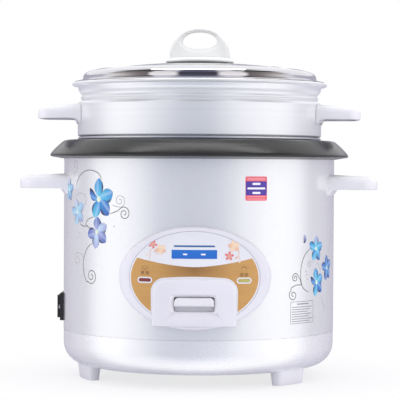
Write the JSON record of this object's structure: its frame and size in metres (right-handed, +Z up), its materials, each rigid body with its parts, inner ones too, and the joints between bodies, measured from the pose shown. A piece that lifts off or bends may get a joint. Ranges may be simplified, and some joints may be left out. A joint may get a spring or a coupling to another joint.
{
  "type": "rice cooker",
  "caption": "Drum rice cooker with oval front panel, rocker switch, side handles, lift-out pot, stacked steamer basket and domed glass lid with loop knob.",
  "frame": {"origin": "on the drum's axis, at the plane that the feet stand on", "axes": "+Z up along the drum's axis; -Y is the front with the oval panel; the side handles point along +X and -X and the power inlet faces -X"},
  "size_m": [0.3532, 0.2966, 0.3465],
  "materials": {
    "pearl_paint": "pearl white gloss enamel",
    "bowl_plastic": "satin silver-lilac moulded plastic",
    "white_plastic": "semi-gloss white moulded plastic",
    "panel_plastic": "semi-gloss pale lilac moulded plastic",
    "collar_plastic": "satin dark grey heat-resistant plastic",
    "fascia_film": "printed film with a brushed gold ground",
    "red_lens": "clear red plastic",
    "amber_lens": "clear yellow-green plastic",
    "lamp_glass": "clear neon lamp glass",
    "black_plastic": "matt black moulded plastic",
    "brass_pins": "plain brass",
    "zinc_steel": "zinc-plated steel",
    "liner_aluminium": "plain mill aluminium sheet",
    "cast_plate": "turned cast aluminium",
    "steamer_aluminium": "satin spun aluminium",
    "pot_coating": "satin aluminium outside, dark non-stick inside",
    "lid_steel": "mirror-polished stainless steel",
    "lid_glass": "clear tempered glass",
    "silicone": "translucent silicone",
    "knob_plastic": "frosted translucent white plastic",
    "ceramic_white": "unglazed white ceramic",
    "spring_steel": "bright spring wire",
    "ferrite": "dark sintered ferrite",
    "wire_sleeve": "silicone rubber wire sleeve",
    "switch_red": "red moulded plastic"
  },
  "bodies": {
    "root": {"outer_shell": "pearl_paint", "base_bowl": "bowl_plastic", "bottom_cover": "zinc_steel", "feet": "white_plastic", "collar_ring": "collar_plastic", "inner_liner": "liner_aluminium", "liner_posts": "zinc_steel", "base_screws": "zinc_steel", "liner_screws": "zinc_steel", "body_handle_left": "white_plastic", "body_handle_right": "white_plastic", "handle_screws": "zinc_steel", "panel_bezel": "panel_plastic", "panel_film": "fascia_film", "switch_surround": "panel_plastic", "cook_lens": "red_lens", "warm_lens": "amber_lens", "lamp_holder": "white_plastic", "indicator_lamps": "lamp_glass", "inlet_socket": "black_plastic", "inlet_pins": "brass_pins", "inlet_screws": "zinc_steel", "wiring": "wire_sleeve", "thermal_fuse": "ceramic_white", "heating_plate": "cast_plate", "plate_screws": "zinc_steel", "heater_terminals": "ceramic_white", "keep_warm_thermostat": "ceramic_white", "thermostat_sleeve": "zinc_steel", "sensor_spring": "spring_steel", "lever_bracket": "zinc_steel", "lever_pin": "zinc_steel", "microswitch": "black_plastic"},
    "pot": {"inner_pot": "pot_coating"},
    "steamer": {"steamer_basket": "steamer_aluminium", "steamer_handle_left": "white_plastic", "steamer_handle_right": "white_plastic", "steamer_brackets": "zinc_steel", "steamer_rivets": "zinc_steel"},
    "lid": {"lid_rim": "lid_steel", "lid_glass": "lid_glass", "lid_gasket": "silicone", "lid_knob": "knob_plastic", "knob_washer": "silicone", "knob_screw": "zinc_steel", "steam_vent": "lid_steel"},
    "lever": {"lever_arm": "zinc_steel", "switch_paddle": "white_plastic"},
    "magnet": {"magnet": "ferrite", "magnet_rod": "zinc_steel", "magnet_spring": "spring_steel"},
    "sensor": {"sensor_cap": "cast_plate", "sensor_ferrite": "ferrite"},
    "switch_button": {"microswitch_button": "switch_red"}
  },
  "joints": [
    {"name": "pot_lift", "type": "slide", "parent": "root", "child": "pot", "axis": [0, 0, 1], "range_m": [0, 0.17]},
    {"name": "steamer_lift", "type": "slide", "parent": "pot", "child": "steamer", "axis": [0, 0, 1], "range_m": [0, 0.1]},
    {"name": "lid_lift", "type": "slide", "parent": "steamer", "child": "lid", "axis": [0, 0, 1], "range_m": [0, 0.12]},
    {"name": "switch_lever", "type": "hinge", "parent": "root", "child": "lever", "pos_m": [0, -0.072, 0.058], "axis": [1, 0, 0], "range_deg": [0, 3.4]},
    {"name": "magnet_slide", "type": "slide", "parent": "root", "child": "magnet", "axis": [0, 0, 1], "range_m": [0, 0.0044], "deforming": ["magnet_spring"]},
    {"name": "sensor_slide", "type": "slide", "parent": "root", "child": "sensor", "axis": [0, 0, 1], "range_m": [-0.001, 0], "stiffness_N_per_m": 400, "springref_m": 0.002, "deforming": ["sensor_spring"]},
    {"name": "button_slide", "type": "slide", "parent": "root", "child": "switch_button", "axis": [0, 0, 1], "range_m": [0, 0.001]}
  ],
  "couplings": [
    {"joint": "magnet_slide", "follows": "switch_lever", "m_per_rad": 0.072},
    {"joint": "button_slide", "follows": "switch_lever", "m_per_rad": 0.0165}
  ]
}
